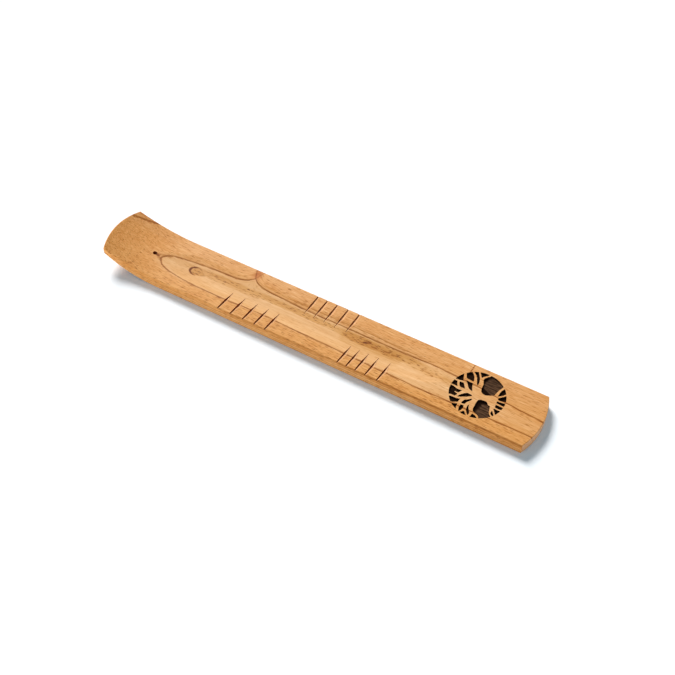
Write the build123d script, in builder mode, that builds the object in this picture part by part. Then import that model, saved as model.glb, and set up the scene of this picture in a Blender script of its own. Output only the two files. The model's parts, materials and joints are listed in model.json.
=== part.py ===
"""Wooden incense stick holder: one carved board with a curled tip, an ash channel and an engraved tree.

X runs along the board, from the curled tip (-X) to the engraved end (+X), and Z is up.
The origin is on the table under the middle of the board. Sizes are in millimetres and degrees.
"""
import os
from math import cos, radians, sin, sqrt

from build123d import *

# Board: a straight strip with rounded ends, sawn flat from one plank
board_length = 258.5
board_width = 34.2
board_thickness = 6.6
end_radius = 41.0
arris_radius = 0.5

# Curl of the tip: the top face starts to rise a little before the underside, and the board thins to its tip
top_curl_length = 42.0
top_curl_radius = 115.0
under_curl_lag = 5.0
tip_thickness = 3.1

# Ash channel: a shallow round-bottomed hollow that runs out to nothing at both ends
channel_width = 19.0
channel_depth = 1.6
channel_tip_margin = 55.0
channel_tree_margin = 86.0
channel_tip_sweep_radius = 110.0
channel_tip_sweep_length = 27.0
channel_tree_sweep_radius = 280.0
channel_tree_sweep_length = 36.0

# Stick hole: a blind drilled hole that leans the stick over the channel
stick_hole_radius = 1.2
stick_hole_depth = 5.5
stick_hole_from_tip = 26.8
stick_hole_off_centre = -1.6
stick_lean = 10.0

# Notches: three groups of V cuts filed across the rims, steep towards the tip and deeper at the channel
notch_width = 1.9
notch_depth = 1.15
notch_slant = 3.7
notch_tilt = 3.7
notch_inner_end = 3.2
near_tip_notches_from_tip = 78.8
near_tip_notch_pitch = 7.4
near_tip_notch_shares = (0.0, 1.07, 2.12, 3.07, 3.98)
far_notches_from_tip = 120.4
far_notch_pitch = 6.4
far_notch_shares = (0.0, 0.9, 1.86, 2.9, 3.96)
near_tree_notches_from_tip = 152.0
near_tree_notch_pitch = 5.8
near_tree_notch_shares = (0.0, 0.9, 1.8, 2.8, 3.98)

# Engraved roundel: a tree left standing at the level of the board, burnt away between its branches
roundel_radius = 14.5
roundel_from_end = 35.4
engraving_depth = 1.2
char_thickness = 0.15
char_clearance = 0.05

# How far cutting shapes reach past the faces that they cut
overrun = 1.0

# Each stroke of the tree is x, y and width at a few places, as shares of the roundel's radius.
# The crown points to the tip of the board and the roots to its end.
trunk_shares = (
    (0.63, -0.01, 0.46), (0.48, 0.03, 0.41), (0.38, 0.02, 0.29), (0.28, 0.0, 0.24),
    (0.15, -0.01, 0.28), (0.06, -0.02, 0.41), (-0.16, -0.03, 0.19),
)
far_limb_shares = (
    (
        (0.01, 0.03, 0.28), (-0.06, 0.24, 0.18), (-0.08, 0.38, 0.165), (-0.085, 0.51, 0.15),
        (-0.12, 0.65, 0.1), (-0.12, 0.76, 0.08), (-0.04, 0.87, 0.06), (0.06, 1.02, 0.06),
    ),
    ((-0.09, 0.44, 0.1), (-0.13, 0.58, 0.1), (-0.19, 0.7, 0.07), (-0.27, 0.82, 0.06), (-0.36, 0.965, 0.06)),
    (
        (-0.06, 0.04, 0.22), (-0.235, 0.3, 0.18), (-0.3, 0.455, 0.12), (-0.345, 0.6, 0.09),
        (-0.415, 0.72, 0.075), (-0.51, 0.81, 0.06), (-0.59, 0.88, 0.06),
    ),
    ((-0.29, 0.41, 0.085), (-0.45, 0.415, 0.08), (-0.62, 0.44, 0.075), (-0.68, 0.475, 0.07)),
)
middle_limb_shares = (
    (
        (-0.08, -0.015, 0.22), (-0.32, 0.0, 0.13), (-0.45, 0.085, 0.125), (-0.53, 0.195, 0.12),
        (-0.61, 0.3, 0.115), (-0.68, 0.44, 0.095), (-0.725, 0.56, 0.09), (-0.785, 0.69, 0.08),
    ),
    ((-0.59, 0.28, 0.1), (-0.725, 0.26, 0.065), (-0.84, 0.24, 0.06), (-1.02, 0.24, 0.06)),
    ((-0.83, 0.235, 0.07), (-0.79, 0.125, 0.075), (-0.74, 0.035, 0.075), (-0.65, -0.03, 0.08)),
    (
        (-0.12, -0.04, 0.15), (-0.45, -0.035, 0.12), (-0.6, -0.045, 0.11),
        (-0.725, -0.06, 0.1), (-0.86, -0.04, 0.06), (-1.03, -0.05, 0.055),
    ),
    (
        (-0.12, -0.05, 0.15), (-0.43, -0.095, 0.13), (-0.505, -0.165, 0.12),
        (-0.565, -0.26, 0.095), (-0.6, -0.36, 0.07), (-0.64, -0.46, 0.07),
    ),
    ((-0.57, -0.27, 0.07), (-0.66, -0.275, 0.05), (-0.75, -0.26, 0.03)),
)
near_limb_shares = (
    (
        (-0.08, -0.18, 0.14), (-0.185, -0.25, 0.11), (-0.26, -0.32, 0.12), (-0.36, -0.365, 0.11),
        (-0.455, -0.41, 0.09), (-0.595, -0.46, 0.07), (-0.76, -0.465, 0.07), (-0.91, -0.53, 0.075),
    ),
    (
        (-0.32, -0.36, 0.11), (-0.38, -0.46, 0.115), (-0.4, -0.565, 0.115), (-0.385, -0.69, 0.11),
        (-0.38, -0.815, 0.095), (-0.345, -0.925, 0.09), (-0.315, -1.03, 0.09),
    ),
    ((-0.41, -0.62, 0.08), (-0.525, -0.685, 0.06), (-0.62, -0.73, 0.06), (-0.74, -0.795, 0.06)),
    ((-0.37, -0.635, 0.07), (-0.29, -0.63, 0.06), (-0.18, -0.6, 0.07)),
    (
        (0.0, -0.15, 0.19), (-0.04, -0.38, 0.14), (-0.145, -0.52, 0.115), (-0.16, -0.65, 0.115),
        (-0.145, -0.765, 0.115), (-0.185, -0.87, 0.07), (-0.3, -1.0, 0.06),
    ),
    (
        (-0.16, -0.64, 0.09), (-0.135, -0.74, 0.09), (-0.095, -0.82, 0.075),
        (-0.03, -0.9, 0.06), (0.085, -1.02, 0.06),
    ),
    (
        (0.0, -0.08, 0.19), (0.005, -0.38, 0.18), (0.015, -0.525, 0.18), (0.04, -0.64, 0.15),
        (0.095, -0.745, 0.125), (0.125, -0.84, 0.095), (0.115, -0.925, 0.08), (0.095, -1.03, 0.075),
    ),
    (
        (0.11, -0.76, 0.11), (0.235, -0.785, 0.075), (0.34, -0.83, 0.07),
        (0.405, -0.89, 0.06), (0.46, -0.98, 0.06),
    ),
)
root_shares = (
    ((0.6, 0.27, 0.16), (0.61, 0.2, 0.17), (0.63, 0.0, 0.15), (0.66, -0.17, 0.15), (0.67, -0.31, 0.12)),
    (
        (0.58, 0.1, 0.16), (0.575, 0.26, 0.12), (0.59, 0.38, 0.1),
        (0.61, 0.52, 0.08), (0.66, 0.66, 0.08), (0.7, 0.77, 0.08),
    ),
    ((0.58, 0.19, 0.1), (0.72, 0.3, 0.06), (0.81, 0.39, 0.055), (0.89, 0.52, 0.055)),
    ((0.65, 0.12, 0.07), (0.79, 0.115, 0.055), (0.92, 0.14, 0.06), (1.03, 0.2, 0.07)),
    ((0.66, -0.04, 0.07), (0.83, -0.045, 0.06), (1.03, -0.05, 0.06)),
    ((0.68, -0.21, 0.07), (0.81, -0.235, 0.055), (0.91, -0.235, 0.055), (1.02, -0.21, 0.06)),
    ((0.66, -0.29, 0.09), (0.77, -0.385, 0.06), (0.83, -0.47, 0.055), (0.89, -0.56, 0.06)),
    (
        (0.62, -0.12, 0.16), (0.655, -0.33, 0.1), (0.67, -0.43, 0.075), (0.68, -0.5, 0.055),
        (0.73, -0.56, 0.05), (0.83, -0.63, 0.06),
    ),
)
stroke_shares = (trunk_shares, *far_limb_shares, *middle_limb_shares, *near_limb_shares, *root_shares)


def arc_rise(run, radius):
    """Height gained along a run by an arc that starts out level."""
    return radius - sqrt(radius**2 - run**2)


# Places along the board that follow from the sizes
tip_x = -board_length / 2
end_x = board_length / 2
corner_x = end_x - arc_rise(board_width / 2, end_radius)
top_curl_x = tip_x + top_curl_length
under_curl_length = top_curl_length - under_curl_lag
under_curl_x = tip_x + under_curl_length
tip_under_z = board_thickness + arc_rise(top_curl_length, top_curl_radius) - tip_thickness
under_curl_radius = (under_curl_length**2 + tip_under_z**2) / (2 * tip_under_z)
past_tip_x = tip_x - overrun
past_end_x = end_x + overrun
past_tip_top_z = board_thickness + arc_rise(top_curl_x - past_tip_x, top_curl_radius)
past_tip_under_z = arc_rise(under_curl_x - past_tip_x, under_curl_radius)
roundel_x = end_x - roundel_from_end
roundel_floor = Plane((roundel_x, 0, board_thickness - engraving_depth))


def tree_openings(clearance):
    """The areas between the branches, drawn in from their edges by the clearance."""
    with BuildSketch(roundel_floor) as openings:
        Circle(roundel_radius - clearance)
        for shares in stroke_shares:
            places = [Vector(x, y) * roundel_radius for x, y, _ in shares]
            reaches = [width * roundel_radius / 2 + clearance for _, _, width in shares]
            ahead = [*places[1:], places[-1]]
            behind = [places[0], *places[:-1]]
            across = [(a - b).normalized().rotate(Axis.Z, 90) for a, b in zip(ahead, behind)]
            with BuildLine():
                left = Spline([p + n * r for p, n, r in zip(places, across, reaches)])
                right = Spline([p - n * r for p, n, r in zip(places, across, reaches)])
                Line(left @ 0, right @ 0)
                Line(left @ 1, right @ 1)
            make_face(mode=Mode.SUBTRACT)
    return openings.sketch


# Channel cutter: a round bar that dips into the top face and swings up at both ends
channel_radius = (channel_width**2 / 4 + channel_depth**2) / (2 * channel_depth)
channel_axis_z = board_thickness - channel_depth + channel_radius
channel_tip_x = tip_x + channel_tip_margin
channel_tree_x = end_x - channel_tree_margin
with BuildPart() as channel_cutter:
    with BuildLine(Plane.XZ) as channel_path:
        level = Line((channel_tip_x, channel_axis_z), (channel_tree_x, channel_axis_z))
        TangentArc(
            level @ 0,
            (
                channel_tip_x - channel_tip_sweep_length,
                channel_axis_z + arc_rise(channel_tip_sweep_length, channel_tip_sweep_radius),
            ),
            tangent=(-1, 0),
        )
        TangentArc(
            level @ 1,
            (
                channel_tree_x + channel_tree_sweep_length,
                channel_axis_z + arc_rise(channel_tree_sweep_length, channel_tree_sweep_radius),
            ),
            tangent=(1, 0),
        )
    with BuildSketch(Plane(channel_path.wire() @ 0, z_dir=channel_path.wire() % 0)):
        Circle(channel_radius)
    sweep(path=channel_path.wire())

# Notch cutter: a wedge with one upright face, from past the rim down the channel's slope
notch_run = board_width / 2 + overrun - notch_inner_end
notch_middle = notch_inner_end + notch_run / 2
notch_reach = notch_width * (notch_depth + overrun) / notch_depth
with BuildPart() as notch_cutter:
    with BuildSketch(Plane.XZ) as notch_profile:
        with BuildLine():
            steep = Line((0, overrun), (0, -notch_depth))
            slope = Line(steep @ 1, (notch_reach, overrun))
            Line(slope @ 1, steep @ 0)
        make_face()
    extrude(amount=notch_run / 2, both=True)

# Board: side profile and plan outline, then the hollows that are cut into it
with BuildPart() as board:
    with BuildSketch(Plane.XZ) as side_profile:
        with BuildLine():
            Line((past_end_x, 0), (under_curl_x, 0))
            TangentArc((under_curl_x, 0), (past_tip_x, past_tip_under_z), tangent=(-1, 0))
            Line((past_tip_x, past_tip_under_z), (past_tip_x, past_tip_top_z))
            TangentArc((top_curl_x, board_thickness), (past_tip_x, past_tip_top_z), tangent=(-1, 0))
            Line((top_curl_x, board_thickness), (past_end_x, board_thickness))
            Line((past_end_x, board_thickness), (past_end_x, 0))
        make_face()
    extrude(amount=board_width / 2 + overrun, both=True)
    with BuildSketch(Plane.XY) as plan_outline:
        with BuildLine():
            far_side = Line((-corner_x, board_width / 2), (corner_x, board_width / 2))
            near_side = Line((-corner_x, -board_width / 2), (corner_x, -board_width / 2))
            ThreePointArc(far_side @ 1, (end_x, 0), near_side @ 1)
            ThreePointArc(far_side @ 0, (tip_x, 0), near_side @ 0)
        make_face()
    extrude(amount=past_tip_top_z, mode=Mode.INTERSECT)
    fillet(board.edges(), radius=arris_radius)

    add(channel_cutter.part, mode=Mode.SUBTRACT)

    notch_groups = (
        (-1, near_tip_notches_from_tip, near_tip_notch_pitch, near_tip_notch_shares),
        (1, far_notches_from_tip, far_notch_pitch, far_notch_shares),
        (-1, near_tree_notches_from_tip, near_tree_notch_pitch, near_tree_notch_shares),
    )
    notch_places = [
        Location(
            (tip_x + first + share * pitch, side * notch_middle, board_thickness),
            (side * notch_tilt, 0, -notch_slant),
        )
        for side, first, pitch, shares in notch_groups
        for share in shares
    ]
    with Locations(*notch_places):
        add(notch_cutter.part, mode=Mode.SUBTRACT)

    stick_x = tip_x + stick_hole_from_tip
    stick_mouth_z = board_thickness + arc_rise(top_curl_x - stick_x, top_curl_radius)
    stick_axis = Vector(sin(radians(stick_lean)), 0, cos(radians(stick_lean)))
    stick_mouth = Vector(stick_x, stick_hole_off_centre, stick_mouth_z)
    with BuildSketch(Plane(stick_mouth - stick_axis * stick_hole_depth, z_dir=stick_axis)):
        Circle(stick_hole_radius)
    extrude(amount=stick_hole_depth + overrun, mode=Mode.SUBTRACT)

    extrude(tree_openings(0), amount=engraving_depth + overrun, mode=Mode.SUBTRACT)

# Charred wood: the burnt layer that lies on the floor of every opening of the tree
with BuildPart() as char:
    extrude(tree_openings(char_clearance), amount=char_thickness)

board.part.label = "holder_board"
char.part.label = "charred_engraving"
os.makedirs("parts", exist_ok=True)
for piece in (board.part, char.part):
    export_step(piece, f"parts/{piece.label}.step")
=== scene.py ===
"""Looks of a flat wooden incense stick holder: oiled wood, filed notches and a tree burnt into the board.

Lengths are metres in the part's own frame. Places in the wood's figure are millimetres from the middle of the
roundel: x along the board away from the curled tip, y across it towards the far side, z up from the flat top.
"""

import json
import math

import bmesh
import bpy
from mathutils import Matrix, Vector


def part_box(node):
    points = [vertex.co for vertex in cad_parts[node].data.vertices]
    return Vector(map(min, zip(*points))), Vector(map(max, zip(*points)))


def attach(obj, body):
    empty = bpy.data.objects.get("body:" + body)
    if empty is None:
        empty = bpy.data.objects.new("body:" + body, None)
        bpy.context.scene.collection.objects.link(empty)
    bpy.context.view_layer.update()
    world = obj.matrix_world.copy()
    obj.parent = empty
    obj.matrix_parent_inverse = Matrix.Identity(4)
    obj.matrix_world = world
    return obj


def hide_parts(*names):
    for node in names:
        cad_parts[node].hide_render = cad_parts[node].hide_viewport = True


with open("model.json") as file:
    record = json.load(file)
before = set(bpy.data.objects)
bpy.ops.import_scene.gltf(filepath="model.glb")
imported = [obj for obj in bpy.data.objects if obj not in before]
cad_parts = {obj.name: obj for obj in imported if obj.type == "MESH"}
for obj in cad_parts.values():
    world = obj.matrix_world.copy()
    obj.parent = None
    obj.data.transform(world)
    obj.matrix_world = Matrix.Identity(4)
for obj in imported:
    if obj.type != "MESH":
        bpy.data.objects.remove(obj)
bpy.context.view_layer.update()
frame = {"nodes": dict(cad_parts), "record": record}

MM = 0.001

# The board's own places, read from the frame
board_low, board_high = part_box("holder_board")
char_low, char_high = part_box("charred_engraving")
roundel = (char_low + char_high) / 2
roundel_radius = (char_high.x - char_low.x) / 2
flat_top = max(v.co.z for v in frame["nodes"]["holder_board"].data.vertices if v.co.x > 0)
tip_rise = board_high.z - flat_top
stick_socket = next(m for m in frame["record"]["mounts"] if m["name"] == "stick_socket")
stick_mouth = Vector(stick_socket["pos_m"])
stick_axis = Vector(stick_socket["axis"])
stick_radius = stick_socket["dims"]["r_mm"] * MM

# The curl of the tip: its length, the radius of its top and the strips that the top is cut into
curl_length = 42.0 * MM
curl_radius = 115.0 * MM
curl_strip = 1.5 * MM
curl_from = board_low.x + curl_length

# The turn that makes an edge a crease, on the whole board and on the flat top, clear of the rounded sides
crease_angle = math.radians(28.0)
channel_crease = math.radians(2.0)
side_round = 1.0 * MM

# How near vertices have to be to count as one, as lying on a surface and as lying on a cut
merge_gap = 0.001 * MM
surface_slack = 0.003 * MM
cut_slack = 0.002 * MM

# How the faces are told apart: those that look up, the openings, the stick hole and the notches
up_turn = 0.5
opening_slack, opening_least, opening_most = 0.2 * MM, 0.02 * MM, 2.0 * MM
hole_slack, hole_end_turn = 0.05 * MM, 0.9
notch_most, notch_turn = 1.6 * MM, 0.4

# The order of the finishes, on the board and on the burnt floors
oiled, filed, scorched = range(3)
shaded_char, browned = range(2)

# The camera of the photograph: square picture, angles in degrees
picture_pixels = 675
focal_pixels = 1063.5
sensor_width = 36.0
look_at = Vector((0.01491, -0.00295, 0.0066))
view_azimuth = 28.706
view_elevation = 50.284
view_roll = 1.189
view_distance = 0.5548
nearest_seen, farthest_seen = 0.01, 20.0

# Studio light: a soft key lamp from the far left and an even surround
key_azimuth, key_elevation, key_softness, key_level = 144.0, 41.0, 24.0, 0.82
ambient_level, ambient_tint = 0.2, (0.92, 1.0, 1.08, 1.0)

# Fill panels, low at the front left and at the right: name, place, the place it faces and watts
panel_width, panel_height = 0.35, 0.09
panels = (
    ("front_panel", Vector((-0.33, -0.50, 0.055)), Vector((-0.02, -0.017, 0.003)), 1.5),
    ("end_panel", Vector((0.55, -0.15, 0.045)), Vector((0.129, 0.0, 0.003)), 0.45),
)

# The white table: half its size, its gap under the board, and the cool glow that keeps its shadow neutral
table_half, table_gap = 3.0, 0.1 * MM
paper_white = (0.95, 0.95, 0.95, 1.0)
glow_tint, glow_level = (0.3, 1.0, 1.4, 1.0), 0.08

# The grain wanders across the board, in waves of this size, and swerves round the knot in the far rim
wander_reach, wander_size = 0.7, (60.0, 25.0, 25.0)
knot_x, swerve_reach, swerve_length = -138.0, 4.2, 4.2
swerve_start_y, swerve_full_y = 2.0, 8.0

# Broad tone, streaks and fine fibres: size along, across and down the grain, detail and the range kept
grain_layers = (
    ((55.0, 9.0, 9.0), 3.0, 0.32, 0.68),
    ((24.0, 1.7, 1.7), 3.0, 0.35, 0.65),
    ((6.5, 0.45, 0.45), 4.0, 0.35, 0.70),
)
# Pores and the dashes of the porous band, drawn about twice as wide as life so that they show: size of a
# cell, the edge and the core of the spindle in it, as shares of the cell, and the darkness of the palest one
pore_kinds = (
    ((4.2, 0.42, 0.42), 0.42, 0.05, 0.0),
    ((3.8, 0.5, 0.5), 0.4, 0.1, 0.2),
)
# The fine fibres shift every mark across the board by up to this much
feather_reach = 0.25
# What part of a place's depth counts as distance from a mark
depth_share = 0.5
# The marks of the top fade below the skin: from and to this depth, down to this share
skin_depth, core_depth, core_share = 1.6, 2.4, 0.2

# The main growth ring, at places along the board: its middle across the board and its half width squared
ring_middles = (
    (-235, -2.0), (-185, -2.4), (-150, -1.9), (-120, -1.4), (-105, -2.0),
    (-60, -2.4), (0, -3.2), (15, -4.0), (36, -4.9),
)
ring_spreads = (
    (-235, -60), (-205, -30), (-191.5, 0), (-188, 17), (-184, 31), (-178, 45), (-168, 60), (-155, 69),
    (-138, 68), (-110, 63), (-60, 71), (-30, 74), (-15, 66), (0, 58), (15, 39), (36, 30),
)
widest_middle, widest_spread = 10.0, 80.0
# The radius of the ring's bow, the step to the next ring below, the depth to which the loop runs straight
# down, and how far from the crest of the bow its line stops widening, squared
ring_curve, ring_step, ring_skin, ring_crest = 72.0, 1.55, 1.7, 7.5
# No other ring shows outside the loop, past this share of a step
ring_last_share = 0.45
# The soft edge and the core of the ring's line, and the heights over the shell that lie outside and inside it
ring_line_edge, ring_line_core = 0.62, 0.05
ring_outside, ring_inside = 0.25, -0.15
# The dark lines are uneven: from this strength, and so much more where the fibres are dense
line_least, line_more = 0.6, 0.7
# How high the fibres stand, as a share of how deep the pores lie, and that depth
fibre_relief, pore_depth = 0.4, 0.06 * MM

# Stains of the darker wood, as filters: brown heartwood, reddish wood round a knot, ochre and amber bands
brown, red, ochre, amber = "#AA895D", "#D2A386", "#E6D5AC", "#E9D8BE"
# How thick the stain of each kind of mark is
streak_stain, fibre_stain, pore_stain, ring_stain = 0.45, 1.2, 1.1, 1.0
band_stain, dash_stain, pupil_stain, lid_stain = 1.0, 2.4, 1.0, 1.8

# Ground colours: two that mix by the broad tone, then others laid over them
ground_deep, ground_pale = "#E6AB68", "#EDBA83"
# Colour, what it follows, from and to which value, and how strong it gets
ground_shifts = (
    # The first is deeper in hue at the tip and lighter there: painted light on the curl, which turns from the
    # key lamp
    ("#F2B16A", "x", -172.0, -204.0, 0.75),
    ("#EBB06A", "y", -6.0, -12.0, 0.6),
    ("#EEB881", "y", 7.0, 12.0, 0.45),
    ("#DA9F62", "x", -20.0, 30.0, 0.15),
    ("#F0B573", "pale patch", 0.0, 1.0, 0.45),
)
pale_patch = ((-207.0, -6.0, 0.0), (-203.0, -4.0, 0.0), 1.0, 8.0)
# The paler wood inside the ring, from and to which x, and how strong it is at these
inner_colour = "#EEC494"
inner_x, inner_strengths = (-12.0, 20.0), (0.55, 0.05)
# How much weaker the fibres and pores are inside the ring, from and to which x
open_x, open_shifts = (-35.0, 0.0), (-0.65, -0.2)
# Where the near rim's hatch of pores starts and is full, and how strong it is
near_rim_y, near_rim_stain = (-8.0, -12.0), 0.5

# Streaks: from and to (x, y, depth under the top), half width, softness, stain and its thickness
streaks = (
    ((-232.0, 19.0, 0.0), (-209.0, 21.0, 0.0), 3.0, 3.0, red, 0.35),
    ((-222.5, 11.3, 0.0), (-206.0, 16.9, 0.0), 0.2, 0.8, brown, 0.85),
    ((-195.6, -1.7, 0.0), (-193.6, -1.7, 0.0), 0.3, 1.0, brown, 0.6),
    ((-195.0, -1.5, 0.0), (-188.0, 1.0, 0.0), 0.1, 1.3, brown, 0.4),
    ((-195.0, -1.8, 0.0), (-190.6, -4.2, 0.0), 0.1, 1.1, brown, 0.4),
    ((-181.0, -0.9, 0.0), (-177.2, -0.7, 0.0), 0.15, 0.5, brown, 0.8),
    ((-178.0, -0.6, 0.0), (-174.0, 0.0, 0.0), 0.2, 0.6, brown, 0.35),
    ((-138.4, 12.0, 0.0), (-138.8, 19.0, 0.0), 1.0, 3.0, red, 0.3),
    ((-138.4, 12.4, 0.0), (-138.6, 18.0, 0.0), 0.4, 1.6, red, 0.3),
    ((-138.3, 11.0, 0.0), (-141.4, 18.0, 0.0), 0.05, 0.6, brown, 0.5),
    ((-138.1, 11.0, 0.0), (-135.8, 18.0, 0.0), 0.05, 0.5, brown, 0.35),
    ((-112.0, 7.8, 0.2), (-60.0, 8.0, 0.2), 0.05, 0.5, brown, 0.45),
    ((-60.0, 8.0, 0.2), (-28.0, 7.1, 0.4), 0.05, 0.5, brown, 0.4),
    ((-76.0, 0.3, 1.5), (-46.0, 0.8, 1.5), 1.5, 3.0, ochre, 0.5),
    ((-66.0, 2.0, 1.4), (-63.0, 3.6, 1.4), 0.3, 0.6, brown, 0.8),
    ((-61.0, 1.6, 1.4), (-58.5, 2.0, 1.4), 0.2, 0.5, brown, 0.5),
    ((-54.0, 2.2, 1.4), (-51.0, 2.4, 1.4), 0.2, 0.5, brown, 0.45),
    ((-49.5, 2.2, 1.4), (-46.5, 2.3, 1.4), 0.2, 0.5, brown, 0.4),
    ((-45.0, 3.9, 0.0), (-25.0, -0.4, 0.0), 0.05, 0.7, brown, 0.4),
    ((-36.0, -3.0, 0.0), (-25.0, -0.4, 0.0), 0.05, 0.5, brown, 0.35),
    ((-9.2, 9.5, 0.0), (-8.8, 17.3, 0.0), 0.05, 0.4, brown, 0.9),
    ((-140.0, -17.2, 0.8), (36.0, -17.2, 0.8), 0.1, 0.6, brown, 0.3),
    ((-70.0, -17.2, 0.8), (36.0, -17.2, 0.8), 0.05, 0.5, brown, 0.3),
)

# The porous band of the inner ring: from, to and strength of each stretch
band_stretches = (
    ((-164.0, 1.6, 1.0), (-150.0, 2.5, 1.0), 0.6),
    ((-150.0, 2.5, 1.0), (-46.0, 3.1, 1.0), 0.55),
    ((-152.0, 2.4, 1.0), (-139.0, 2.4, 1.0), 0.9),
    ((-154.0, 0.8, 1.0), (-143.0, 1.2, 1.0), 0.6),
    ((-125.0, 2.8, 1.0), (-94.0, 2.9, 1.0), 0.8),
    ((-70.0, 3.2, 1.0), (-45.0, 3.6, 1.0), 1.1),
    ((-70.0, 1.8, 1.2), (-48.0, 2.2, 1.2), 0.9),
    ((-45.0, 3.5, 1.0), (-24.0, 0.5, 0.4), 0.5),
)
band_half_width, band_softness = 0.9, 1.6
# Its ends fade this many times more slowly than its sides
band_fade = 8.0

# The eye where the inner ring ends: its middle, and its half sizes along, across and down
eye_x, eye_y = -169.0, 0.0
eye_half_length, eye_half_width, eye_half_depth = 5.0, 3.0, 10 / 3
# As shares of its half sizes: the edge and the core of the pupil, and half the width and core of the dark lid
pupil_edge, pupil_core = 1.1, 0.6
lid_edge, lid_core = 0.2, 0.03
# The lid shows on the tip's side only: from and to which x
lid_none_x, lid_full_x = -168.0, -173.0

# End grain: how far a face turns along the board where it starts and is full, and how strong its colour gets
end_grain_turns, end_grain_strength = (0.55, 0.95), 0.6
# Painted shade and darker edges in the notches: whole on the near side and this share of it on the far side,
# changing between these y
notch_shade_y, far_notch_shade_share = (3.0 * MM, 5.0 * MM), 0.35

# Painted shade of the walls on the floors of the two large openings, where no brown fibres show: from, to,
# half width and softness
wall_shade_patches = (
    ((-1.0, 5.0, 0.0), (3.0, 3.2, 0.0), 1.4, 0.6),
    ((3.0, 3.2, 0.0), (9.0, 2.0, 0.0), 0.9, 0.7),
    ((-1.0, 9.0, 0.0), (-0.4, 12.0, 0.0), 0.5, 1.2),
    ((2.0, -9.5, 0.0), (3.2, -2.4, 0.0), 0.5, 1.6),
    ((3.2, -2.4, 0.0), (6.0, -2.0, 0.0), 0.4, 1.4),
)

# The fibres that stand on the burnt floors: how many, their greatest size, their half lengths as shares of
# the longest, their sides and rings, and the seed of their places
fibres_per_mm2 = 3.0
longest_fibre, fibre_width, fibre_height = 5.0 * MM, 0.22 * MM, 0.07 * MM
fibre_half_shares = (0.2, 0.5)
fibre_sides, fibre_rings = 6, 5
fibre_seed = 7


def linear(colour):
    """An sRGB hex colour as linear red, green, blue and alpha."""
    parts = [int(colour[i : i + 2], 16) / 255 for i in (1, 3, 5)]
    return [p / 12.92 if p <= 0.04045 else ((p + 0.055) / 1.055) ** 2.4 for p in parts] + [1.0]


def per(sizes):
    """The scale of a pattern whose cells have these sizes."""
    return [1 / size for size in sizes]


def result(node):
    """The first output that a node has with its settings."""
    return next(s for s in node.outputs if s.enabled)


def add(tree, kind, inputs=None, **settings):
    """A node with its settings and inputs: each input takes a value, a socket or the result of a node."""
    node = tree.nodes.new(kind)
    for name, value in settings.items():
        setattr(node, name, value)
    for name, value in (inputs or {}).items():
        if isinstance(name, int):
            socket = node.inputs[name]
        else:
            socket = next(s for s in node.inputs if s.name == name and s.enabled)
        if isinstance(value, bpy.types.Node):
            value = result(value)
        if isinstance(value, bpy.types.NodeSocket):
            tree.links.new(value, socket)
        else:
            socket.default_value = value
    return node


def add_sockets(tree, side, kind, *names):
    """Named inputs or outputs of one kind for a node group."""
    for name in names:
        tree.interface.new_socket(name, in_out=side, socket_type="NodeSocket" + kind)


def wood_mark():
    """Node group: how strongly a place lies on a soft streak drawn between two points, 0 to 1."""
    tree = bpy.data.node_groups.new("wood_mark", "ShaderNodeTree")
    add_sockets(tree, "INPUT", "Vector", "Place", "From", "To")
    add_sockets(tree, "INPUT", "Float", "Half Width", "Softness")
    add_sockets(tree, "OUTPUT", "Float", "Mark")
    given = add(tree, "NodeGroupInput").outputs
    reach = add(tree, "ShaderNodeVectorMath", {0: given["To"], 1: given["From"]}, operation="SUBTRACT")
    away = add(tree, "ShaderNodeVectorMath", {0: given["Place"], 1: given["From"]}, operation="SUBTRACT")
    along = add(tree, "ShaderNodeVectorMath", {0: away, 1: reach}, operation="DOT_PRODUCT")
    whole = add(tree, "ShaderNodeVectorMath", {0: reach, 1: reach}, operation="DOT_PRODUCT")
    share = add(tree, "ShaderNodeMath", {0: along, 1: whole}, operation="DIVIDE", use_clamp=True)
    nearest = add(tree, "ShaderNodeVectorMath", {0: reach, "Scale": share}, operation="SCALE")
    apart = add(tree, "ShaderNodeVectorMath", {0: away, 1: nearest}, operation="DISTANCE")
    edge = add(tree, "ShaderNodeMath", {0: given["Half Width"], 1: given["Softness"]}, operation="ADD")
    span = {"Value": apart, "From Min": edge, "From Max": given["Half Width"]}
    mark = add(tree, "ShaderNodeMapRange", span, interpolation_type="SMOOTHSTEP")
    add(tree, "NodeGroupOutput", {"Mark": mark})
    return tree


def mark_on(tree, surface, start, end, half_width, softness):
    """A soft streak between two places of the board, given with their depth under the top."""
    inputs = {"Place": surface, "Half Width": half_width, "Softness": softness}
    inputs["From"] = (start[0], start[1], start[2] * depth_share)
    inputs["To"] = (end[0], end[1], end[2] * depth_share)
    return add(tree, "ShaderNodeGroup", inputs, node_tree=mark_tree)


def stained(tree, wood, colour, mask, thickness):
    """Wood darkened by a stain, which takes from each colour as a filter of that thickness does."""
    layer = add(tree, "ShaderNodeMath", {0: mask, 1: thickness}, operation="MULTIPLY")
    layer = add(tree, "ShaderNodeGamma", {"Color": linear(colour), "Gamma": layer})
    inputs = {"Factor": 1.0, "A": wood, "B": layer}
    return add(tree, "ShaderNodeMix", inputs, data_type="RGBA", blend_type="MULTIPLY")


def depth_under_top(tree, x, z):
    """The depth of a place under the top, which rises along the curl."""
    curl_start = (curl_from - roundel.x) / MM
    span = {"Value": x, "From Min": curl_start, "From Max": curl_start - curl_length / MM}
    curl = add(tree, "ShaderNodeMapRange", span, clamp=False)
    curl = add(tree, "ShaderNodeMath", {0: curl, 1: 0.0}, operation="MAXIMUM")
    curl = add(tree, "ShaderNodeMath", {0: curl, 1: 2.0}, operation="POWER")
    rise = add(tree, "ShaderNodeMath", {0: curl, 1: tip_rise / MM}, operation="MULTIPLY")
    return add(tree, "ShaderNodeMath", {0: rise, 1: z}, operation="SUBTRACT")


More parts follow.
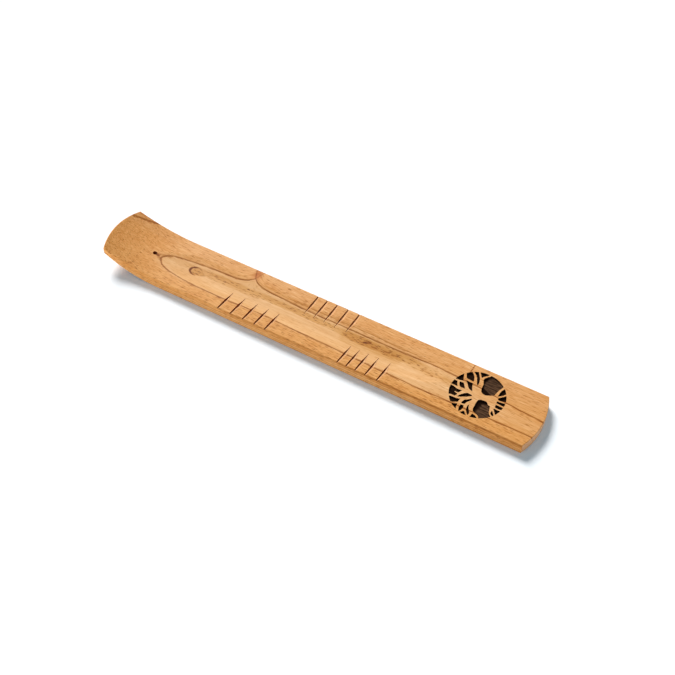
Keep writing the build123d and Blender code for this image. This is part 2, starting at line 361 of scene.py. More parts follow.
def across_grain(tree, place, x, y):
    """The place across the grain, which wanders a little and swerves round the knot."""
    waves = add(tree, "ShaderNodeMapping", {"Vector": place, "Scale": per(wander_size)})
    wander = add(tree, "ShaderNodeTexNoise", {"Vector": waves, "Scale": 1.0, "Detail": 2.0})
    centred = {0: wander, 1: 2 * wander_reach, 2: -wander_reach}
    wander = add(tree, "ShaderNodeMath", centred, operation="MULTIPLY_ADD")
    off_knot = add(tree, "ShaderNodeMath", {0: x, 1: knot_x}, operation="SUBTRACT")
    off_knot = add(tree, "ShaderNodeMath", {0: off_knot}, operation="ABSOLUTE")
    swerve = add(tree, "ShaderNodeMath", {0: off_knot, 1: -1 / swerve_length}, operation="MULTIPLY")
    swerve = add(tree, "ShaderNodeMath", {0: swerve}, operation="EXPONENT")
    span = {"Value": y, "From Min": swerve_start_y, "From Max": swerve_full_y, "To Max": swerve_reach}
    on_far_rim = add(tree, "ShaderNodeMapRange", span, interpolation_type="SMOOTHSTEP")
    swerve = add(tree, "ShaderNodeMath", {0: swerve, 1: on_far_rim}, operation="MULTIPLY")
    shift = add(tree, "ShaderNodeMath", {0: wander, 1: swerve}, operation="SUBTRACT")
    return add(tree, "ShaderNodeMath", {0: y, 1: shift}, operation="ADD")


def uneven_tone(tree, place, size, detail, low, high, most=1.0):
    """Tone from 0 to most, in patches of this size along, across and down the grain."""
    fitted = add(tree, "ShaderNodeMapping", {"Vector": place, "Scale": per(size)})
    noise = add(tree, "ShaderNodeTexNoise", {"Vector": fitted, "Scale": 1.0, "Detail": detail})
    span = {"Value": noise, "From Min": low, "From Max": high, "To Max": most}
    return add(tree, "ShaderNodeMapRange", span)


def open_pores(tree, grain, size, edge, core, least):
    """Spindles in cells of this size, each as dark as chance has it."""
    fitted = add(tree, "ShaderNodeMapping", {"Vector": grain, "Scale": per(size)})
    cells = add(tree, "ShaderNodeTexVoronoi", {"Vector": fitted, "Scale": 1.0}).outputs
    span = {"Value": cells["Distance"], "From Min": edge, "From Max": core}
    spindle = add(tree, "ShaderNodeMapRange", span, interpolation_type="SMOOTHSTEP")
    dark = add(tree, "ShaderNodeSeparateColor", {"Color": cells["Color"]}).outputs["Red"]
    dark = add(tree, "ShaderNodeMapRange", {"Value": dark, "To Min": least})
    return add(tree, "ShaderNodeMath", {0: spindle, 1: dark}, operation="MULTIPLY")


def along_board(tree, x, points, widest):
    """A value that runs smoothly through points of x and value, none of them wider than the widest."""
    first, last = points[0][0], points[-1][0]
    share = add(tree, "ShaderNodeMapRange", {"Value": x, "From Min": first, "From Max": last})
    drawn = add(tree, "ShaderNodeFloatCurve", {"Value": share})
    knots = [((px - first) / (last - first), (value + widest) / (2 * widest)) for px, value in points]
    curve = drawn.mapping.curves[0]
    curve.points[0].location = knots[0]
    curve.points[1].location = knots[-1]
    for knot in knots[1:-1]:
        curve.points.new(*knot)
    drawn.mapping.update()
    span = {"Value": drawn, "To Min": -widest, "To Max": widest}
    return add(tree, "ShaderNodeMapRange", span, clamp=False)


def growth_ring(tree, x, across, depth):
    """The line and the inside of the main growth ring: a bowed shell, which the top cuts to a long loop."""
    middle = along_board(tree, x, ring_middles, widest_middle)
    spread = along_board(tree, x, ring_spreads, widest_spread)
    off = add(tree, "ShaderNodeMath", {0: across, 1: middle}, operation="SUBTRACT")
    square = add(tree, "ShaderNodeMath", {0: off, 1: off}, operation="MULTIPLY")
    shell = add(tree, "ShaderNodeMath", {0: square, 1: spread}, operation="SUBTRACT")
    shell = add(tree, "ShaderNodeMath", {0: shell, 1: 2 * ring_curve}, operation="DIVIDE")
    sunk = add(tree, "ShaderNodeMath", {0: depth, 1: ring_skin}, operation="SUBTRACT")
    deep = add(tree, "ShaderNodeMath", {0: sunk, 1: 0.0}, operation="MAXIMUM")
    shell = add(tree, "ShaderNodeMath", {0: shell, 1: deep}, operation="SUBTRACT")

    # The line keeps its width where the shell meets the surface at a low angle
    slope = add(tree, "ShaderNodeMath", {0: square, 1: ring_crest}, operation="ADD")
    slope = add(tree, "ShaderNodeMath", {0: slope, 1: ring_curve**2}, operation="DIVIDE")
    below = add(tree, "ShaderNodeMath", {0: sunk, 1: 0.0}, operation="GREATER_THAN")
    slope = add(tree, "ShaderNodeMath", {0: slope, 1: below}, operation="ADD")
    slope = add(tree, "ShaderNodeMath", {0: slope}, operation="SQRT")
    apart = add(tree, "ShaderNodeMath", {0: shell, 1: ring_last_share * ring_step}, operation="MINIMUM")
    apart = add(tree, "ShaderNodeMath", {0: apart, 1: ring_step / 2}, operation="PINGPONG")
    apart = add(tree, "ShaderNodeMath", {0: apart, 1: slope}, operation="DIVIDE")
    span = {"Value": apart, "From Min": ring_line_edge, "From Max": ring_line_core}
    line = add(tree, "ShaderNodeMapRange", span, interpolation_type="SMOOTHSTEP")
    span = {"Value": shell, "From Min": ring_outside, "From Max": ring_inside}
    inside = add(tree, "ShaderNodeMapRange", span, interpolation_type="SMOOTHSTEP")
    return line, inside


def ground_colour(tree, x, y, surface, tone, pale):
    """The ground colour: deeper and painted lighter at the tip, as painted light on the curl that turns from
    the key lamp; deeper at the near rim, paler at the far rim and inside the ring.
    """
    inputs = {"Factor": tone, "A": linear(ground_deep), "B": linear(ground_pale)}
    wood = add(tree, "ShaderNodeMix", inputs, data_type="RGBA")
    follows = {"x": x, "y": y, "pale patch": mark_on(tree, surface, *pale_patch)}
    for colour, value, start, end, most in ground_shifts:
        span = {"Value": follows[value], "From Min": start, "From Max": end, "To Max": most}
        factor = add(tree, "ShaderNodeMapRange", span, interpolation_type="SMOOTHSTEP")
        inputs = {"Factor": factor, "A": wood, "B": linear(colour)}
        wood = add(tree, "ShaderNodeMix", inputs, data_type="RGBA")
    inputs = {"Factor": pale, "A": wood, "B": linear(inner_colour)}
    return add(tree, "ShaderNodeMix", inputs, data_type="RGBA")


def porous_band(tree, surface):
    """How strongly a place lies in the porous band of the inner ring."""
    squeezed = add(tree, "ShaderNodeMapping", {"Vector": surface, "Scale": (1 / band_fade, 1.0, 1.0)})
    band = None
    for (start_x, *start), (end_x, *end), strength in band_stretches:
        ends = ((start_x / band_fade, *start), (end_x / band_fade, *end))
        held = mark_on(tree, squeezed, *ends, band_half_width, band_softness)
        held = add(tree, "ShaderNodeMath", {0: held, 1: strength}, operation="MULTIPLY")
        band = held if band is None else add(tree, "ShaderNodeMath", {0: band, 1: held}, operation="MAXIMUM")
    return band


def eye_of_ring(tree, x, surface):
    """The pupil and the dark lid of the eye where the inner ring ends."""
    inputs = {"Vector": surface, "Scale": per((eye_half_length, eye_half_width, eye_half_depth))}
    inputs["Location"] = (-eye_x / eye_half_length, -eye_y / eye_half_width, 0.0)
    out = add(tree, "ShaderNodeMapping", inputs)
    out = add(tree, "ShaderNodeVectorMath", {0: out}, operation="LENGTH").outputs["Value"]
    span = {"Value": out, "From Min": pupil_edge, "From Max": pupil_core}
    pupil = add(tree, "ShaderNodeMapRange", span, interpolation_type="SMOOTHSTEP")
    lid = add(tree, "ShaderNodeMath", {0: out, 1: 1.0}, operation="SUBTRACT")
    lid = add(tree, "ShaderNodeMath", {0: lid}, operation="ABSOLUTE")
    span = {"Value": lid, "From Min": lid_edge, "From Max": lid_core}
    lid = add(tree, "ShaderNodeMapRange", span, interpolation_type="SMOOTHSTEP")
    span = {"Value": x, "From Min": lid_none_x, "From Max": lid_full_x}
    tip_side = add(tree, "ShaderNodeMapRange", span, interpolation_type="SMOOTHSTEP")
    lid = add(tree, "ShaderNodeMath", {0: lid, 1: tip_side}, operation="MULTIPLY")
    return pupil, lid


def flat_sawn_figure():
    """Node group: the colour and the relief of the flat-sawn wood, at any place in the board."""
    tree = bpy.data.node_groups.new("flat_sawn_figure", "ShaderNodeTree")
    add_sockets(tree, "OUTPUT", "Color", "Colour")
    add_sockets(tree, "OUTPUT", "Float", "Relief")
    spot = add(tree, "ShaderNodeTexCoord").outputs["Object"]
    middle = Vector((roundel.x, roundel.y, flat_top)) / MM
    place = add(tree, "ShaderNodeMapping", {"Vector": spot, "Scale": per((MM, MM, MM)), "Location": -middle})
    x, y, z = add(tree, "ShaderNodeSeparateXYZ", {"Vector": place}).outputs
    depth = depth_under_top(tree, x, z)
    across = across_grain(tree, place, x, y)
    grain = add(tree, "ShaderNodeCombineXYZ", {"X": x, "Y": across, "Z": z})
    tone, streaky, fibre = [uneven_tone(tree, grain, *layer) for layer in grain_layers]
    pores, dashes = [open_pores(tree, grain, *kind) for kind in pore_kinds]
    hatch = add(tree, "ShaderNodeMath", {0: pores, 1: dashes}, operation="MAXIMUM")

    # Places for the marks: feathered by the fibres, and counted less by depth than along the top
    centred = {0: fibre, 1: 2 * feather_reach, 2: -feather_reach}
    feather = add(tree, "ShaderNodeMath", centred, operation="MULTIPLY_ADD")
    flattened = add(tree, "ShaderNodeMath", {0: depth, 1: depth_share}, operation="MULTIPLY")
    feathered = add(tree, "ShaderNodeMath", {0: y, 1: feather}, operation="ADD")
    surface = add(tree, "ShaderNodeCombineXYZ", {"X": x, "Y": feathered, "Z": flattened})
    across = add(tree, "ShaderNodeMath", {0: across, 1: feather}, operation="ADD")
    ring, inside = growth_ring(tree, x, across, depth)
    span = {"Value": depth, "From Min": skin_depth, "From Max": core_depth}
    fading = add(tree, "ShaderNodeMapRange", span | {"To Min": 1.0, "To Max": core_share})

    # The ground, paler inside the ring
    span = {"Value": x, "From Min": inner_x[0], "From Max": inner_x[1]}
    span |= {"To Min": inner_strengths[0], "To Max": inner_strengths[1]}
    pale = add(tree, "ShaderNodeMapRange", span)
    pale = add(tree, "ShaderNodeMath", {0: pale, 1: inside}, operation="MULTIPLY")
    pale = add(tree, "ShaderNodeMath", {0: pale, 1: fading}, operation="MULTIPLY")
    wood = ground_colour(tree, x, y, surface, tone, pale)

    # Streaks, fibres and pores, weaker inside the ring, and the hatch of the near rim
    span = {"Value": x, "From Min": open_x[0], "From Max": open_x[1]}
    span |= {"To Min": open_shifts[0], "To Max": open_shifts[1]}
    open_grain = add(tree, "ShaderNodeMapRange", span)
    open_grain = add(tree, "ShaderNodeMath", {0: inside, 1: open_grain, 2: 1.0}, operation="MULTIPLY_ADD")
    pores = add(tree, "ShaderNodeMath", {0: pores, 1: open_grain}, operation="MULTIPLY")
    fibres = add(tree, "ShaderNodeMath", {0: fibre, 1: open_grain}, operation="MULTIPLY")
    wood = stained(tree, wood, amber, streaky, streak_stain)
    wood = stained(tree, wood, amber, fibres, fibre_stain)
    wood = stained(tree, wood, brown, pores, pore_stain)
    span = {"Value": y, "From Min": near_rim_y[0], "From Max": near_rim_y[1], "To Max": near_rim_stain}
    near_rim = add(tree, "ShaderNodeMapRange", span, interpolation_type="SMOOTHSTEP")
    wood = stained(tree, wood, brown, hatch, near_rim)

    # The porous, ochre band of the inner ring and its eye
    pupil, lid = eye_of_ring(tree, x, surface)
    band = add(tree, "ShaderNodeMath", {0: porous_band(tree, surface), 1: pupil}, operation="MAXIMUM")
    dashed = add(tree, "ShaderNodeMath", {0: dashes, 1: band}, operation="MULTIPLY")
    hatched = add(tree, "ShaderNodeMath", {0: hatch, 1: pupil}, operation="MULTIPLY")
    wood = stained(tree, wood, ochre, band, band_stain)
    wood = stained(tree, wood, brown, dashed, dash_stain)
    wood = stained(tree, wood, brown, hatched, pupil_stain)
    wood = stained(tree, wood, brown, lid, lid_stain)

    # The dark edge of the growth ring and the single streaks, uneven along their length
    uneven = add(tree, "ShaderNodeMath", {0: fibre, 1: line_more, 2: line_least}, operation="MULTIPLY_ADD")
    ring = add(tree, "ShaderNodeMath", {0: ring, 1: uneven}, operation="MULTIPLY")
    ring = add(tree, "ShaderNodeMath", {0: ring, 1: fading}, operation="MULTIPLY")
    wood = stained(tree, wood, brown, ring, ring_stain)
    for start, end, half_width, softness, colour, thickness in streaks:
        mark = mark_on(tree, surface, start, end, half_width, softness)
        mark = add(tree, "ShaderNodeMath", {0: mark, 1: uneven}, operation="MULTIPLY")
        wood = stained(tree, wood, colour, mark, thickness)

    # Fibres stand up a little and pores lie open
    relief = add(tree, "ShaderNodeMath", {0: fibres, 1: fibre_relief}, operation="MULTIPLY")
    relief = add(tree, "ShaderNodeMath", {0: relief, 1: pores}, operation="SUBTRACT")
    add(tree, "NodeGroupOutput", {"Colour": wood, "Relief": relief})
    return tree


def new_material(name, **inputs):
    """A material, its node tree and its main shader, with the shader's inputs set."""
    material = bpy.data.materials.new(name)
    material.use_nodes = True
    shader = material.node_tree.nodes["Principled BSDF"]
    for key, value in inputs.items():
        shader.inputs[key.replace("_", " ")].default_value = value
    return material, material.node_tree, shader


def oiled_wood():
    """Sanded, lightly oiled wood: golden tan and satin, with greyer end grain."""
    material, tree, shader = new_material("oiled_wood", Roughness=0.5, IOR=1.5, Specular_IOR_Level=0.1)
    grain = add(tree, "ShaderNodeGroup", node_tree=figure).outputs
    facing = add(tree, "ShaderNodeTexCoord").outputs["Normal"]
    facing = add(tree, "ShaderNodeSeparateXYZ", {"Vector": facing}).outputs["X"]
    facing = add(tree, "ShaderNodeMath", {0: facing}, operation="ABSOLUTE")
    span = {"Value": facing, "From Min": end_grain_turns[0], "From Max": end_grain_turns[1]}
    end_grain = add(tree, "ShaderNodeMapRange", span | {"To Max": end_grain_strength})
    inputs = {"Factor": end_grain, "A": grain["Colour"], "B": linear("#DDB592")}
    colour = add(tree, "ShaderNodeMix", inputs, data_type="RGBA")
    tree.links.new(result(colour), shader.inputs["Base Color"])
    inputs = {"Height": grain["Relief"], "Distance": pore_depth, "Strength": 0.6}
    tree.links.new(result(add(tree, "ShaderNodeBump", inputs)), shader.inputs["Normal"])
    return material


def filed_wood():
    """Wood cut by a file: dull and rough, with painted shade in the notch's inner corner and on its steep
    side, weaker in the far notches.
    """
    material, tree, shader = new_material("filed_wood", Roughness=0.75, IOR=1.5, Specular_IOR_Level=0.0)
    grain = add(tree, "ShaderNodeGroup", node_tree=figure).outputs
    spot = add(tree, "ShaderNodeTexCoord").outputs
    facing = add(tree, "ShaderNodeSeparateXYZ", {"Vector": spot["Normal"]}).outputs["X"]
    across = add(tree, "ShaderNodeSeparateXYZ", {"Vector": spot["Object"]}).outputs["Y"]
    span = {"Value": across, "From Min": notch_shade_y[0], "From Max": notch_shade_y[1]}
    notch_shade_share = add(tree, "ShaderNodeMapRange", span | {"To Min": 1.0, "To Max": far_notch_shade_share})
    corner = add(tree, "ShaderNodeAttribute", attribute_name="notch_corner").outputs["Fac"]
    inputs = {"Factor": 0.5, "A": grain["Colour"], "B": linear("#DCAC84")}
    colour = add(tree, "ShaderNodeMix", inputs, data_type="RGBA")

    # Darker towards the notch's edges and over the stick hole's walls, painted shade in the notch's inner
    # corner, and painted shade on the steep side, which faces away from the key lamp: each from and to a
    # value, up to a strength
    for value, start, end, most, dark in (
        (corner, 0.14, 0.0, 0.5, "#7A3A12"),
        (corner, 0.5, 0.95, 1.0, "#6E2A02"),
        (facing, 0.2, 0.8, 1.0, "#9E3E04"),
    ):
        span = {"Value": value, "From Min": start, "From Max": end, "To Max": most}
        factor = add(tree, "ShaderNodeMapRange", span)
        factor = add(tree, "ShaderNodeMath", {0: factor, 1: notch_shade_share}, operation="MULTIPLY")
        inputs = {"Factor": factor, "A": colour, "B": linear(dark)}
        colour = add(tree, "ShaderNodeMix", inputs, data_type="RGBA")
    tree.links.new(result(colour), shader.inputs["Base Color"])
    return material


def scorched_wood():
    """Cut walls browned to near black by the laser, matt, with fibres showing."""
    material, tree, shader = new_material("scorched_wood", Roughness=0.85, IOR=1.45, Specular_IOR_Level=0.15)
    spot = add(tree, "ShaderNodeTexCoord").outputs["Object"]
    fibres = uneven_tone(tree, spot, (3 * MM, 0.4 * MM, 0.3 * MM), 3.0, 0.0, 1.0)
    inputs = {"Factor": fibres, "A": linear("#1A0D05"), "B": linear("#43291A")}
    colour = add(tree, "ShaderNodeMix", inputs, data_type="RGBA")
    tree.links.new(result(colour), shader.inputs["Base Color"])
    return material


def burnt_floor(name, dark, light, most_light, shade_patches=()):
    """Floor of an opening burnt by the laser: matt char, with brown fibres where the laser burnt less, left
    out in any given patches of painted shade.
    """
    material, tree, shader = new_material(name, Roughness=0.9, IOR=1.4, Specular_IOR_Level=0.05)
    spot = add(tree, "ShaderNodeTexCoord").outputs["Object"]
    fibres = uneven_tone(tree, spot, (5 * MM, 0.8 * MM, 0.8 * MM), 4.0, 0.3, 0.65, most_light)
    middle = Vector((roundel.x, roundel.y, 0.0)) / MM
    inputs = {"Vector": spot, "Scale": (1 / MM, 1 / MM, 0.0), "Location": -middle}
    place = add(tree, "ShaderNodeMapping", inputs)
    for shade_patch in shade_patches:
        kept = add(tree, "ShaderNodeMath", {0: 1.0, 1: mark_on(tree, place, *shade_patch)}, operation="SUBTRACT")
        fibres = add(tree, "ShaderNodeMath", {0: fibres, 1: kept}, operation="MULTIPLY")
    inputs = {"Factor": fibres, "A": linear(dark), "B": linear(light)}
    colour = add(tree, "ShaderNodeMix", inputs, data_type="RGBA")
    tree.links.new(result(colour), shader.inputs["Base Color"])
    return material


def new_object(name, data):
    """An object in the scene that holds this mesh, lamp or camera."""
    piece = bpy.data.objects.new(name, data)
    bpy.context.scene.collection.objects.link(piece)
    return piece


def merged_copy(node, name, finishes):
    """A closed copy of a CAD node's mesh as a new object with its own finishes."""
    mesh = bpy.data.meshes.new(name)
    work = bmesh.new()
    work.from_mesh(frame["nodes"][node].data)
    bmesh.ops.remove_doubles(work, verts=work.verts, dist=merge_gap)
    work.to_mesh(mesh)
    work.free()
    mesh.materials.clear()
    for finish in finishes:
        mesh.materials.append(finish)
    return new_object(name, mesh)


def curl_height(x):
    """The height of the curl's top at a place along the board."""
    return flat_top + curl_radius - math.sqrt(curl_radius**2 - (curl_from - x) ** 2)


def curl_faces(work):
    """The faces of the curl's top."""
    on_curl = [v for v in work.verts if v.co.x < curl_from + surface_slack]
    on_round = {v for v in on_curl if abs(v.co.z - curl_height(min(v.co.x, curl_from))) < surface_slack}
    return [f for f in work.faces if f.normal.z > up_turn and on_round.issuperset(f.verts)]


def smooth_curl(mesh):
    """Cuts the long facets of the curl's top into strips, lifts them onto its true round and joins each."""
    work = bmesh.new()
    work.from_mesh(mesh)
    cuts = [curl_from - i * curl_strip for i in range(1, int(curl_length / curl_strip))]
    for cut in cuts:
        faces = curl_faces(work)
        parts = [*faces, *(e for f in faces for e in f.edges), *(v for f in faces for v in f.verts)]
        parts = list(dict.fromkeys(parts))
        across = {"plane_co": (cut, 0, 0), "plane_no": (1, 0, 0), "dist": cut_slack}
        for part in bmesh.ops.bisect_plane(work, geom=parts, **across)["geom_cut"]:
            if isinstance(part, bmesh.types.BMVert):
                part.co.z = curl_height(part.co.x)
    faces = set(curl_faces(work))
    lines = (curl_from, *cuts)
    inside_strips = []
    for edge in work.edges:
        on_line = any(all(abs(v.co.x - line) < 2 * cut_slack for v in edge.verts) for line in lines)
        if faces.issuperset(edge.link_faces) and not on_line:
            inside_strips.append(edge)
    bmesh.ops.dissolve_edges(work, edges=inside_strips, use_verts=False)
    bmesh.ops.dissolve_verts(work, verts=[v for v in work.verts if len(v.link_edges) == 2])
    work.to_mesh(mesh)
    work.free()


def crease_edges(mesh):
    """Shades the mesh smooth, with creases at its sharp turns and round the channel."""
    work = bmesh.new()
    work.from_mesh(mesh)
    for face in work.faces:
        face.smooth = True
    for edge in work.edges:
        level = all(abs(v.co.z - flat_top) < surface_slack for v in edge.verts)
        clear = all(abs(v.co.y) < board_high.y - side_round for v in edge.verts)
        edge.smooth = edge.calc_face_angle(0.0) < (channel_crease if level and clear else crease_angle)
    work.to_mesh(mesh)
    work.free()


def mark_notch_corners(mesh):
    """Gives each notch's inner corner the value 1, which falls to 0 at the notch's edges."""
    corner = mesh.attributes.new("notch_corner", "FLOAT", "POINT")
    steep, slope = set(), set()
    for face in mesh.polygons:
        if face.material_index == filed:
            (steep if face.normal.x > 0 else slope).update(face.edge_keys)
    for edge in steep & slope:
        for vert in edge:
            corner.data[vert].value = 1.0


def board_finish(face):
    """The finish of a board's face: scorched in the openings, filed in the hole and notches, or oiled."""
    under_top = flat_top - face.center.z
    from_roundel = (face.center - roundel).to_2d().length
    if from_roundel < roundel_radius + opening_slack and opening_least < under_top < opening_most:
        return scorched
    from_hole = (face.center - stick_mouth).cross(stick_axis).length
    if from_hole < stick_radius + hole_slack and abs(face.normal.dot(stick_axis)) < hole_end_turn:
        return filed
    between = stick_mouth.x < face.center.x < roundel.x
    if between and under_top < notch_most and abs(face.normal.x) > notch_turn:
        return filed
    return oiled


def carved_board():
    """The board with its finishes."""
    piece = merged_copy("holder_board", "carved_board", board_finishes)
    smooth_curl(piece.data)
    for face in piece.data.polygons:
        face.material_index = board_finish(face)
    mark_notch_corners(piece.data)
    crease_edges(piece.data)
    piece.modifiers.new("even_shading", "WEIGHTED_NORMAL").keep_sharp = True
    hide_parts("holder_board")
    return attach(piece, "root")


def charred_floors():
    """The burnt floors of the tree's openings: the two largest are browned, the others get the darker char,
    which is char and painted shade together.
    """
    piece = merged_copy("charred_engraving", "charred_floors", floor_finishes)
    work = bmesh.new()
    work.from_mesh(piece.data)
    waiting = set(work.faces)
    floors = []
    while waiting:
        floor, front = set(), [waiting.pop()]
        while front:
            face = front.pop()
            floor.add(face)
            beside = {f for e in face.edges for f in e.link_faces} & waiting
            waiting -= beside
            front.extend(beside)
        floors.append(floor)
    floors.sort(key=lambda floor: sum(f.calc_area() for f in floor))
    for floor in floors[-2:]:
        for face in floor:
            face.material_index = browned
    work.to_mesh(piece.data)
    work.free()
    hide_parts("charred_engraving")
    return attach(piece, "root")


def fibre_tree():
    """Geometry tree: low spindles along the grain on the floors it is given, each kept clear of the walls."""
    tree = bpy.data.node_groups.new("standing_fibres", "GeometryNodeTree")
    add_sockets(tree, "INPUT", "Geometry", "Geometry")
    add_sockets(tree, "INPUT", "Float", "Fibres per Area", "Longest", "Width", "Height")
    add_sockets(tree, "INPUT", "Int", "Seed")
    add_sockets(tree, "INPUT", "Material", "Shaded Char", "Browned")
    add_sockets(tree, "OUTPUT", "Geometry", "Geometry")
    given = add(tree, "NodeGroupInput").outputs

    # One fibre of unit size, along x
    spindle = {"Segments": fibre_sides, "Rings": fibre_rings, "Radius": 1.0}
    spindle = add(tree, "GeometryNodeMeshUVSphere", spindle)
    spindle = add(tree, "GeometryNodeTransform", {"Geometry": spindle, "Rotation": (0.0, math.pi / 2, 0.0)})
    spindle = add(tree, "GeometryNodeSetShadeSmooth", {"Geometry": spindle})

    # The top of each floor, and the room from a place on it to the walls, where its edges have one face
    upward = add(tree, "ShaderNodeSeparateXYZ", {"Vector": add(tree, "GeometryNodeInputNormal")}).outputs["Z"]
    upward = add(tree, "ShaderNodeMath", {0: upward, 1: up_turn}, operation="GREATER_THAN")
    tops = {"Geometry": given["Geometry"], "Selection": upward}
    tops = add(tree, "GeometryNodeSeparateGeometry", tops, domain="FACE")
    sides = add(tree, "GeometryNodeInputMeshEdgeNeighbors")
    lone = add(tree, "ShaderNodeMath", {0: sides, 1: 2.0}, operation="LESS_THAN")
    walls = add(tree, "GeometryNodeSeparateGeometry", {"Geometry": tops, "Selection": lone}, domain="EDGE")
    room = add(tree, "GeometryNodeProximity", {0: walls}, target_element="EDGES").outputs["Distance"]
    free = add(tree, "ShaderNodeMath", {0: room, 1: given["Width"]}, operation="GREATER_THAN")

    # The half sizes of each fibre
    share = {"Min": fibre_half_shares[0], "Max": fibre_half_shares[1], "Seed": given["Seed"]}
    share = add(tree, "FunctionNodeRandomValue", share, data_type="FLOAT")
    half = add(tree, "ShaderNodeMath", {0: given["Longest"], 1: share}, operation="MULTIPLY")
    half = add(tree, "ShaderNodeMath", {0: half, 1: room}, operation="MINIMUM")
    half_width = add(tree, "ShaderNodeMath", {0: given["Width"], 1: 0.5}, operation="MULTIPLY")
    size = add(tree, "ShaderNodeCombineXYZ", {"X": half, "Y": half_width, "Z": given["Height"]})

    # The fibres of each finish
    index = add(tree, "GeometryNodeInputMaterialIndex")
    whole = add(tree, "GeometryNodeJoinGeometry")
    for number, finish in ((shaded_char, "Shaded Char"), (browned, "Browned")):
        same = add(tree, "ShaderNodeMath", {0: index, 1: number, 2: 0.1}, operation="COMPARE")
        floor = {"Geometry": tops, "Selection": same}
        floor = add(tree, "GeometryNodeSeparateGeometry", floor, domain="FACE")
        spread = {"Mesh": floor, "Density": given["Fibres per Area"], "Seed": given["Seed"]}
        points = add(tree, "GeometryNodeDistributePointsOnFaces", spread)
        fibres = {"Points": points, "Selection": free, "Instance": spindle, "Scale": size}
        fibres = add(tree, "GeometryNodeInstanceOnPoints", fibres)
        fibres = add(tree, "GeometryNodeRealizeInstances", {"Geometry": fibres})
        fibres = add(tree, "GeometryNodeSetMaterial", {"Geometry": fibres, "Material": given[finish]})
        tree.links.new(result(fibres), whole.inputs[0])
    add(tree, "NodeGroupOutput", {"Geometry": whole})
    return tree


def standing_fibres(floors):
    """The hard fibres that the burn leaves standing on the floors, drawn a little coarser than life."""
    piece = new_object("standing_fibres", floors.data.copy())
    grown = piece.modifiers.new("standing_fibres", "NODES")
    grown.node_group = fibre_tree()
    values = {"Fibres per Area": fibres_per_mm2 / MM**2, "Seed": fibre_seed}
    values |= {"Longest": longest_fibre, "Width": fibre_width, "Height": fibre_height}
    values |= {"Shaded Char": floor_finishes[shaded_char], "Browned": floor_finishes[browned]}
    for socket in grown.node_group.interface.items_tree:
        if socket.in_out == "INPUT" and socket.name in values:
            grown[socket.identifier] = values[socket.name]
    posed = piece.evaluated_get(bpy.context.evaluated_depsgraph_get())
    mesh = bpy.data.meshes.new_from_object(posed)
    piece.modifiers.clear()
    piece.data = mesh
    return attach(piece, "root")


def seen_directly(tree):
    """1 for a ray that shows a surface, straight, mirrored or through glass, 0 for one that gathers light."""
    path = add(tree, "ShaderNodeLightPath").outputs
    seen = {0: path["Is Camera Ray"], 1: path["Is Glossy Ray"]}
    seen = add(tree, "ShaderNodeMath", seen, operation="MAXIMUM")
    return add(tree, "ShaderNodeMath", {0: seen, 1: path["Is Transmission Ray"]}, operation="MAXIMUM")


def white_table():
    """A white paper table that keeps the shadow."""
    mesh = bpy.data.meshes.new("table_top")
    work = bmesh.new()
    bmesh.ops.create_grid(work, x_segments=1, y_segments=1, size=table_half)
    bmesh.ops.translate(work, verts=work.verts, vec=(0, 0, -table_gap))
    work.to_mesh(mesh)
    work.free()
    material, tree, shader = new_material("white_paper", Base_Color=paper_white, Roughness=0.9)
    shader.inputs["Emission Color"].default_value = glow_tint
    glow = add(tree, "ShaderNodeMath", {0: seen_directly(tree), 1: glow_level}, operation="MULTIPLY")
    tree.links.new(result(glow), shader.inputs["Emission Strength"])
    mesh.materials.append(material)
    ground = new_object("table_top", mesh)


def white_surround():
    """A surround that looks white and gives a low, even light."""
    world = bpy.data.worlds.new("white_surround")
    bpy.context.scene.world = world
    world.use_nodes = True
    tree = world.node_tree
    background = tree.nodes["Background"]
    seen = seen_directly(tree)
    strength = add(tree, "ShaderNodeMapRange", {"Value": seen, "To Min": ambient_level})
    inputs = {"Factor": seen, "A": ambient_tint, "B": (1.0, 1.0, 1.0, 1.0)}
    colour = add(tree, "ShaderNodeMix", inputs, data_type="RGBA")
    tree.links.new(result(colour), background.inputs["Color"])
    tree.links.new(result(strength), background.inputs["Strength"])


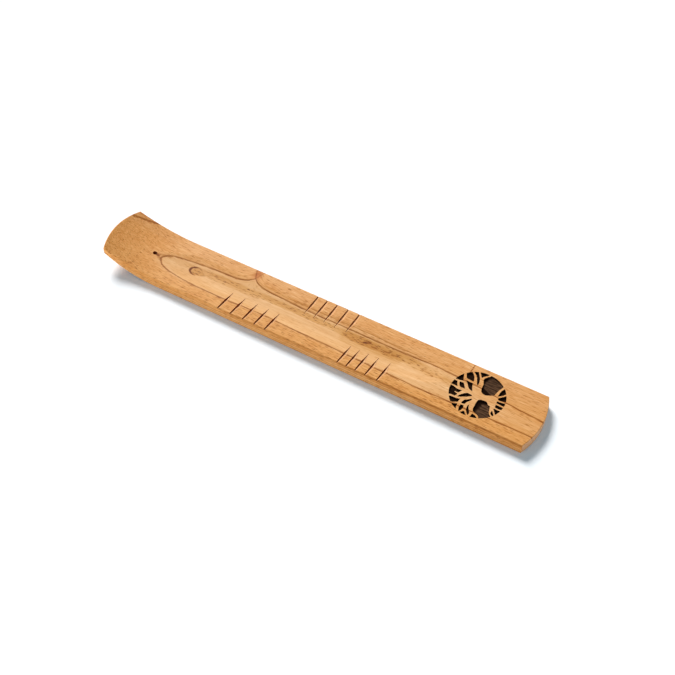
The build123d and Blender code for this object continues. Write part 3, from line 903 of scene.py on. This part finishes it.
def studio_light():
    """The key lamp and the fill panels."""
    a, e = math.radians(key_azimuth), math.radians(key_elevation)
    key = bpy.data.lights.new("key_lamp", "SUN")
    key.energy = key_level * math.pi / math.sin(e)
    key.angle = math.radians(key_softness)
    towards_key = Vector((math.cos(a) * math.cos(e), math.sin(a) * math.cos(e), math.sin(e)))
    lamps = [(key, towards_key, towards_key)]
    for name, place, target, watts in panels:
        panel = bpy.data.lights.new(name, "AREA")
        panel.shape = "RECTANGLE"
        panel.size = panel_width
        panel.size_y = panel_height
        panel.energy = watts
        lamps.append((panel, place, place - target))
    for lamp, place, towards in lamps:
        piece = new_object(lamp.name, lamp)
        piece.location = place
        piece.rotation_euler = towards.to_track_quat("Z", "Y").to_euler()


def photo_camera():
    """The photograph's view point."""
    a, e, r = math.radians(view_azimuth), math.radians(view_elevation), math.radians(view_roll)
    back = Vector((math.sin(a) * math.cos(e), -math.cos(a) * math.cos(e), math.sin(e)))
    right = Vector((math.cos(a), math.sin(a), 0.0))
    up = back.cross(right)
    right, up = right * math.cos(r) + up * math.sin(r), up * math.cos(r) - right * math.sin(r)
    camera = bpy.data.cameras.new("photo_camera")
    camera.sensor_width = sensor_width
    camera.lens = focal_pixels / picture_pixels * sensor_width
    camera.clip_start = nearest_seen
    camera.clip_end = farthest_seen
    piece = new_object("photo_camera", camera)
    turn = Matrix((right, up, back)).transposed().to_4x4()
    piece.matrix_world = Matrix.Translation(look_at + back * view_distance) @ turn
    bpy.context.scene.camera = piece


# The wood's node groups and finishes
mark_tree = wood_mark()
figure = flat_sawn_figure()
board_finishes = (oiled_wood(), filed_wood(), scorched_wood())
floor_finishes = (
    # The small openings' floors are darker than the two large ones: burnt wood, painted darker as the shade
    # that fills them
    burnt_floor("charred_wood", "#140A05", "#3A2314", 0.7),
    burnt_floor("browned_wood", "#1E1008", "#6F513B", 1.0, wall_shade_patches),
)

# The holder, its surroundings, light and view
carved_board()
standing_fibres(charred_floors())
white_table()
white_surround()
studio_light()
photo_camera()
bpy.context.scene.view_settings.view_transform = "Standard"
